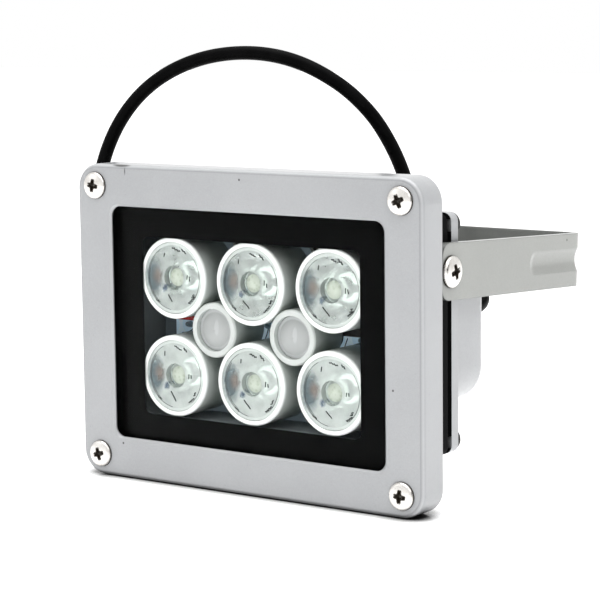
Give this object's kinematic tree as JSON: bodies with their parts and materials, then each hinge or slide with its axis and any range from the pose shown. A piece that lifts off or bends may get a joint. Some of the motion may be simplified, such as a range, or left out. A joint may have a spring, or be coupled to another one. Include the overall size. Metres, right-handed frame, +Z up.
{
  "type": "led floodlight",
  "caption": "Small square-faced LED floodlight: cast front frame, glazed lens array, flanged finned housing, U bracket with a tilt pivot, and a short cable that ends in a round socket.",
  "frame": {"origin": "centre of the round hole in the bracket's back plate, on the face that lies against the wall", "axes": "+Y from the lamp towards the wall when the lamp hangs straight, the bracket itself being tilted 3 degrees about X from it, +X along the pivot axis, +Z up; the lamp shines along -Y"},
  "size_m": [0.1358, 0.0897, 0.1198],
  "materials": {
    "silver_paint": "die-cast, painted fine silver grey, satin",
    "bracket_paint": "folded steel strap, painted silver grey, satin",
    "black_coat": "die-cast, black powder coat",
    "pane_glass": "clear toughened glass with a black printed border",
    "black_rubber": "smooth, slightly shiny",
    "nickel_steel": "nickel-plated steel, bright with fine handling marks",
    "white_board": "metal-core board with white solder mask",
    "white_plastic": "white moulded plastic, satin",
    "clear_acrylic": "clear moulded acrylic",
    "frosted_acrylic": "frosted translucent",
    "led_phosphor": "pale yellow-green silicone dome on a white base",
    "red_insulation": "smooth",
    "blue_insulation": "smooth",
    "green_board": "green solder mask",
    "black_plastic": "fine matt texture",
    "capacitor_sleeve": "shrink sleeve with a bare metal top",
    "ferrite": "dark ferrite with lacquered winding",
    "white_insulation": "smooth",
    "contact_metal": "nickel-plated brass"
  },
  "bodies": {
    "bracket": {"bracket": "bracket_paint"},
    "head": {"front_frame": "silver_paint", "rear_housing": "silver_paint", "led_tray": "black_coat", "glass_pane": "pane_glass", "glass_seal": "black_rubber", "housing_gasket": "black_rubber", "cable_grommet": "black_rubber", "cable": "black_rubber", "frame_screws": "nickel_steel", "housing_screws": "nickel_steel", "pivot_screws": "nickel_steel", "pivot_washers": "nickel_steel", "led_board_screws": "nickel_steel", "driver_screws": "nickel_steel", "led_board": "white_board", "lens_holder_1": "white_plastic", "lens_holder_2": "white_plastic", "lens_holder_3": "white_plastic", "lens_holder_4": "white_plastic", "lens_holder_5": "white_plastic", "lens_holder_6": "white_plastic", "small_holder_1": "white_plastic", "small_holder_2": "white_plastic", "lens_1": "clear_acrylic", "lens_2": "clear_acrylic", "lens_3": "clear_acrylic", "lens_4": "clear_acrylic", "lens_5": "clear_acrylic", "lens_6": "clear_acrylic", "small_lens_1": "frosted_acrylic", "small_lens_2": "frosted_acrylic", "led_1": "led_phosphor", "led_2": "led_phosphor", "led_3": "led_phosphor", "led_4": "led_phosphor", "led_5": "led_phosphor", "led_6": "led_phosphor", "small_led_1": "led_phosphor", "small_led_2": "led_phosphor", "red_wire": "red_insulation", "blue_wire": "blue_insulation", "link_wires": "blue_insulation", "driver_board": "green_board", "driver_chip": "black_plastic", "connector_body": "black_plastic", "driver_capacitor": "capacitor_sleeve", "driver_choke": "ferrite", "supply_leads": "white_insulation", "connector_sleeve": "contact_metal", "connector_pin": "contact_metal"}
  },
  "joints": [
    {"name": "head_tilt", "type": "hinge", "parent": "bracket", "child": "head", "pos_m": [0, -0.0707, 0.0037], "axis": [1, 0, 0], "range_deg": [-55, 75]}
  ]
}
